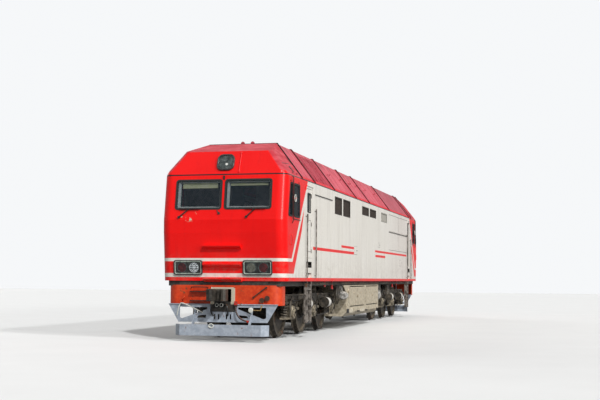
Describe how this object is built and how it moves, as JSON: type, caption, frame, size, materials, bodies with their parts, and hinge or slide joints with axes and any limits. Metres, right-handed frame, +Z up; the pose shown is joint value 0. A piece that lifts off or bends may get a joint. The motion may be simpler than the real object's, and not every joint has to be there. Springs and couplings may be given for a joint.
{
  "type": "diesel locomotive",
  "caption": "Passenger diesel locomotive with a cab at each end, sloped roof sides, a fuel tank amidships and two bogies, with snow plows and automatic couplers.",
  "frame": {"origin": "centre of length and width, at the tips of the wheel flanges", "axes": "+X forwards, towards the cab in front of the picture, +Y to the left, +Z up"},
  "size_m": [21.7, 3.208, 4.9999],
  "materials": {
    "body_paint": "gloss paint, red and off-white livery",
    "roof_paint": "weathered red paint",
    "frame_paint": "dusty black paint",
    "running_gear": "dusty dark iron",
    "wheel_steel": "bright tread, dusty discs",
    "apron_paint": "orange paint",
    "plow_paint": "pale blue-grey paint",
    "tank_paint": "dusty beige paint",
    "glass": "tinted glass",
    "rubber": "black window rubber",
    "lamp": "lamp cases and lenses",
    "louvre_paint": "dark brown slats",
    "door_paint": "off-white paint",
    "rail_steel": "painted steel bar",
    "cab_trim": "dark moulded desk",
    "seat_fabric": "woven seat cover",
    "inner_paint": "pale inner paint",
    "fan_metal": "cast fan",
    "coupler_steel": "dark cast steel"
  },
  "bodies": {
    "body": {"air_reservoirs": "frame_paint", "aprons": "apron_paint", "battery_banks": "frame_paint", "bogie_pivots": "frame_paint", "bulkheads": "inner_paint", "cab_desks": "cab_trim", "cab_floors": "inner_paint", "cab_front": "body_paint", "cab_glass": "glass", "cab_rear": "body_paint", "cab_seats": "seat_fabric", "draft_boxes": "frame_paint", "engine_block": "inner_paint", "fuel_tank": "tank_paint", "handrails": "rail_steel", "ladders": "rail_steel", "lamps": "lamp", "plows": "plow_paint", "roof_cooling": "roof_paint", "roof_equipment": "roof_paint", "roof_hatches": "roof_paint", "roof_intake": "roof_paint", "side_louvres": "louvre_paint", "underframe": "frame_paint", "wall_left": "body_paint", "wall_right": "body_paint", "window_rubbers": "rubber", "wipers": "rubber"},
    "wheelset_1": {"wheelset_1": "wheel_steel"},
    "wheelset_2": {"wheelset_2": "wheel_steel"},
    "wheelset_3": {"wheelset_3": "wheel_steel"},
    "wheelset_4": {"wheelset_4": "wheel_steel"},
    "wheelset_5": {"wheelset_5": "wheel_steel"},
    "wheelset_6": {"wheelset_6": "wheel_steel"},
    "bogie_front": {"bogie_frame_front": "running_gear", "bogie_springs_front": "running_gear", "axleboxes_front": "running_gear", "traction_motors_front": "running_gear", "brake_gear_front": "running_gear"},
    "coupler_front": {"coupler_front": "coupler_steel"},
    "bogie_rear": {"bogie_frame_rear": "running_gear", "bogie_springs_rear": "running_gear", "axleboxes_rear": "running_gear", "traction_motors_rear": "running_gear", "brake_gear_rear": "running_gear"},
    "coupler_rear": {"coupler_rear": "coupler_steel"},
    "door_front_left": {"door_front_left": "door_paint", "door_glass_front_left": "glass"},
    "door_front_right": {"door_front_right": "door_paint", "door_glass_front_right": "glass"},
    "door_rear_left": {"door_rear_left": "door_paint", "door_glass_rear_left": "glass"},
    "door_rear_right": {"door_rear_right": "door_paint", "door_glass_rear_right": "glass"},
    "battery_lid_left_front": {"battery_lid_left_front": "tank_paint"},
    "battery_lid_left_rear": {"battery_lid_left_rear": "tank_paint"},
    "battery_lid_right_front": {"battery_lid_right_front": "tank_paint"},
    "battery_lid_right_rear": {"battery_lid_right_rear": "tank_paint"},
    "fan_1": {"fan_1": "fan_metal"},
    "fan_2": {"fan_2": "fan_metal"}
  },
  "joints": [
    {"name": "bogie_front_swivel", "type": "hinge", "parent": "body", "child": "bogie_front", "pos_m": [6.25, 0, 1], "axis": [0, 0, 1], "range_deg": [-3, 3]},
    {"name": "coupler_front_swing", "type": "hinge", "parent": "body", "child": "coupler_front", "pos_m": [9.7, 0, 1.09], "axis": [0, 0, 1], "range_deg": [-8, 8]},
    {"name": "bogie_rear_swivel", "type": "hinge", "parent": "body", "child": "bogie_rear", "pos_m": [-6.25, 0, 1], "axis": [0, 0, 1], "range_deg": [-3, 3]},
    {"name": "coupler_rear_swing", "type": "hinge", "parent": "body", "child": "coupler_rear", "pos_m": [-9.7, 0, 1.09], "axis": [0, 0, 1], "range_deg": [-8, 8]},
    {"name": "wheelset_1_roll", "type": "hinge", "parent": "bogie_front", "child": "wheelset_1", "pos_m": [8.4, 0, 0.64], "axis": [0, 1, 0], "continuous": true},
    {"name": "wheelset_2_roll", "type": "hinge", "parent": "bogie_front", "child": "wheelset_2", "pos_m": [6.25, 0, 0.64], "axis": [0, 1, 0], "continuous": true},
    {"name": "wheelset_3_roll", "type": "hinge", "parent": "bogie_front", "child": "wheelset_3", "pos_m": [4.1, 0, 0.64], "axis": [0, 1, 0], "continuous": true},
    {"name": "wheelset_4_roll", "type": "hinge", "parent": "bogie_rear", "child": "wheelset_4", "pos_m": [-4.1, 0, 0.64], "axis": [0, 1, 0], "continuous": true},
    {"name": "wheelset_5_roll", "type": "hinge", "parent": "bogie_rear", "child": "wheelset_5", "pos_m": [-6.25, 0, 0.64], "axis": [0, 1, 0], "continuous": true},
    {"name": "wheelset_6_roll", "type": "hinge", "parent": "bogie_rear", "child": "wheelset_6", "pos_m": [-8.4, 0, 0.64], "axis": [0, 1, 0], "continuous": true},
    {"name": "door_front_left_hinge", "type": "hinge", "parent": "body", "child": "door_front_left", "pos_m": [7.86, 1.5, 2.9], "axis": [0, 0, -1], "range_deg": [0, 90]},
    {"name": "door_front_right_hinge", "type": "hinge", "parent": "body", "child": "door_front_right", "pos_m": [7.86, -1.5, 2.9], "axis": [0, 0, 1], "range_deg": [0, 90]},
    {"name": "door_rear_left_hinge", "type": "hinge", "parent": "body", "child": "door_rear_left", "pos_m": [-7.86, 1.5, 2.9], "axis": [0, 0, -1], "range_deg": [0, 90]},
    {"name": "door_rear_right_hinge", "type": "hinge", "parent": "body", "child": "door_rear_right", "pos_m": [-7.86, -1.5, 2.9], "axis": [0, 0, -1], "range_deg": [0, 90]},
    {"name": "battery_lid_left_front_hinge", "type": "hinge", "parent": "body", "child": "battery_lid_left_front", "pos_m": [1.665, 1.449, 0.695], "axis": [-1, 0, 0], "range_deg": [0, 90]},
    {"name": "battery_lid_left_rear_hinge", "type": "hinge", "parent": "body", "child": "battery_lid_left_rear", "pos_m": [-0.77, 1.449, 0.695], "axis": [-1, 0, 0], "range_deg": [0, 90]},
    {"name": "battery_lid_right_front_hinge", "type": "hinge", "parent": "body", "child": "battery_lid_right_front", "pos_m": [1.665, -1.449, 0.695], "axis": [1, 0, 0], "range_deg": [0, 90]},
    {"name": "battery_lid_right_rear_hinge", "type": "hinge", "parent": "body", "child": "battery_lid_right_rear", "pos_m": [-0.77, -1.449, 0.695], "axis": [1, 0, 0], "range_deg": [0, 90]},
    {"name": "fan_1_spin", "type": "hinge", "parent": "body", "child": "fan_1", "pos_m": [-4.64, 0, 4.6], "axis": [0, 0, 1], "continuous": true},
    {"name": "fan_2_spin", "type": "hinge", "parent": "body", "child": "fan_2", "pos_m": [-6.58, 0, 4.6], "axis": [0, 0, 1], "continuous": true}
  ]
}
